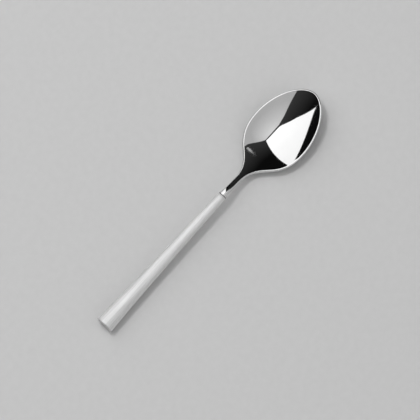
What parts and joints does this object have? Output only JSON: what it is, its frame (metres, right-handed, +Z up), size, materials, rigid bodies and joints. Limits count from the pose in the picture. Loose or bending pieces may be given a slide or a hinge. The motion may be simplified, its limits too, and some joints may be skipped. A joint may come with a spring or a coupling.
{
  "type": "coffee spoon",
  "caption": "Coffee spoon with a mirror-polished oval bowl and flat neck, its tang cemented into a round satin hollow handle that flares to a flat-cut butt.",
  "frame": {"origin": "under the middle of the spoon's length and width, on the table that it lies on", "axes": "+X along the spoon from the butt to the bowl's tip, +Z up out of the bowl"},
  "size_m": [0.1378, 0.0284, 0.0104],
  "materials": {
    "polished_steel": "mirror-polished stainless steel",
    "satin_steel": "fine satin stainless steel, brushed along the handle",
    "cement": "dark filled resin cement"
  },
  "bodies": {
    "root": {"spoon_head": "polished_steel", "handle_upper_shell": "satin_steel", "handle_lower_shell": "satin_steel", "butt_cap": "satin_steel", "tang_cement": "cement"}
  },
  "joints": []
}
